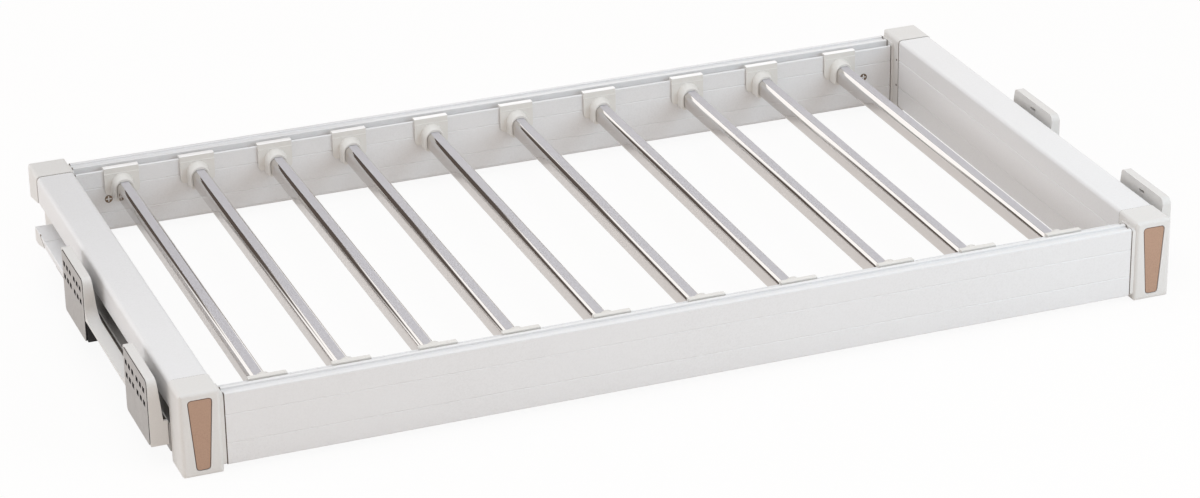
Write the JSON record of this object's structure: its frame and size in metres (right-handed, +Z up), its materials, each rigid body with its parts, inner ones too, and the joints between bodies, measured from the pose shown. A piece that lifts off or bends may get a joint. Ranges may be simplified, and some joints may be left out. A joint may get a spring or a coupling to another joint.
{
  "type": "pull-out trouser rack",
  "caption": "Rectangular frame with cross bars on sliding hangers, on telescopic side slides with bracket runners.",
  "frame": {"origin": "under the middle of the rack, level with the undersides of its corner blocks", "axes": "+X to the right seen from the front, +Y to the back of the wardrobe, +Z up"},
  "size_m": [0.864, 0.48, 0.072],
  "materials": {
    "painted_frame": "pearl white, fine grain",
    "white_plastic": "satin off-white",
    "tan_inlay": "satin bronze-tan",
    "steel_plate": "dull zinc",
    "dark_steel": "dark bronze, satin",
    "slide_steel": "bright zinc",
    "chrome_bar": "polished",
    "black_plastic": "matte black"
  },
  "bodies": {
    "cabinet_runners": {"left_bracket_cover": "white_plastic", "left_front_plate": "steel_plate", "left_rear_plate": "steel_plate", "left_carrier": "dark_steel", "left_hood": "painted_frame", "left_end_cap": "white_plastic", "left_rear_clamp": "black_plastic", "left_cabinet_slide": "slide_steel", "right_bracket_cover": "white_plastic", "right_front_plate": "steel_plate", "right_rear_plate": "steel_plate", "right_carrier": "dark_steel", "right_hood": "painted_frame", "right_end_cap": "white_plastic", "right_rear_clamp": "black_plastic", "right_cabinet_slide": "slide_steel"},
    "left_middle": {"left_middle_slide": "slide_steel"},
    "right_middle": {"right_middle_slide": "slide_steel"},
    "rack": {"left_rail": "painted_frame", "front_left_block": "white_plastic", "rear_left_block": "white_plastic", "front_left_inlay": "tan_inlay", "left_rack_slide": "slide_steel", "right_rail": "painted_frame", "front_right_block": "white_plastic", "rear_right_block": "white_plastic", "front_right_inlay": "tan_inlay", "right_rack_slide": "slide_steel", "front_rail": "painted_frame", "rear_rail": "painted_frame"},
    "hanging_bar_01": {"bar_01": "chrome_bar", "front_hanger_01": "white_plastic", "rear_hanger_01": "white_plastic"},
    "hanging_bar_02": {"bar_02": "chrome_bar", "front_hanger_02": "white_plastic", "rear_hanger_02": "white_plastic"},
    "hanging_bar_03": {"bar_03": "chrome_bar", "front_hanger_03": "white_plastic", "rear_hanger_03": "white_plastic"},
    "hanging_bar_04": {"bar_04": "chrome_bar", "front_hanger_04": "white_plastic", "rear_hanger_04": "white_plastic"},
    "hanging_bar_05": {"bar_05": "chrome_bar", "front_hanger_05": "white_plastic", "rear_hanger_05": "white_plastic"},
    "hanging_bar_06": {"bar_06": "chrome_bar", "front_hanger_06": "white_plastic", "rear_hanger_06": "white_plastic"},
    "hanging_bar_07": {"bar_07": "chrome_bar", "front_hanger_07": "white_plastic", "rear_hanger_07": "white_plastic"},
    "hanging_bar_08": {"bar_08": "chrome_bar", "front_hanger_08": "white_plastic", "rear_hanger_08": "white_plastic"},
    "hanging_bar_09": {"bar_09": "chrome_bar", "front_hanger_09": "white_plastic", "rear_hanger_09": "white_plastic"},
    "hanging_bar_10": {"bar_10": "chrome_bar", "front_hanger_10": "white_plastic", "rear_hanger_10": "white_plastic"}
  },
  "joints": [
    {"name": "rack_slide", "type": "slide", "parent": "cabinet_runners", "child": "rack", "axis": [0, -1, 0], "range_m": [0, 0.34]},
    {"name": "left_middle_slide", "type": "slide", "parent": "cabinet_runners", "child": "left_middle", "axis": [0, -1, 0], "range_m": [0, 0.17]},
    {"name": "right_middle_slide", "type": "slide", "parent": "cabinet_runners", "child": "right_middle", "axis": [0, -1, 0], "range_m": [0, 0.17]},
    {"name": "bar_01_shift", "type": "slide", "parent": "rack", "child": "hanging_bar_01", "axis": [1, 0, 0], "range_m": [-0.015, 0.015]},
    {"name": "bar_02_shift", "type": "slide", "parent": "rack", "child": "hanging_bar_02", "axis": [1, 0, 0], "range_m": [-0.015, 0.015]},
    {"name": "bar_03_shift", "type": "slide", "parent": "rack", "child": "hanging_bar_03", "axis": [1, 0, 0], "range_m": [-0.015, 0.015]},
    {"name": "bar_04_shift", "type": "slide", "parent": "rack", "child": "hanging_bar_04", "axis": [1, 0, 0], "range_m": [-0.015, 0.015]},
    {"name": "bar_05_shift", "type": "slide", "parent": "rack", "child": "hanging_bar_05", "axis": [1, 0, 0], "range_m": [-0.015, 0.015]},
    {"name": "bar_06_shift", "type": "slide", "parent": "rack", "child": "hanging_bar_06", "axis": [1, 0, 0], "range_m": [-0.015, 0.015]},
    {"name": "bar_07_shift", "type": "slide", "parent": "rack", "child": "hanging_bar_07", "axis": [1, 0, 0], "range_m": [-0.015, 0.015]},
    {"name": "bar_08_shift", "type": "slide", "parent": "rack", "child": "hanging_bar_08", "axis": [1, 0, 0], "range_m": [-0.015, 0.015]},
    {"name": "bar_09_shift", "type": "slide", "parent": "rack", "child": "hanging_bar_09", "axis": [1, 0, 0], "range_m": [-0.015, 0.015]},
    {"name": "bar_10_shift", "type": "slide", "parent": "rack", "child": "hanging_bar_10", "axis": [1, 0, 0], "range_m": [-0.015, 0.015]}
  ],
  "couplings": [
    {"joint": "left_middle_slide", "follows": "rack_slide", "ratio": 0.5},
    {"joint": "right_middle_slide", "follows": "rack_slide", "ratio": 0.5}
  ]
}
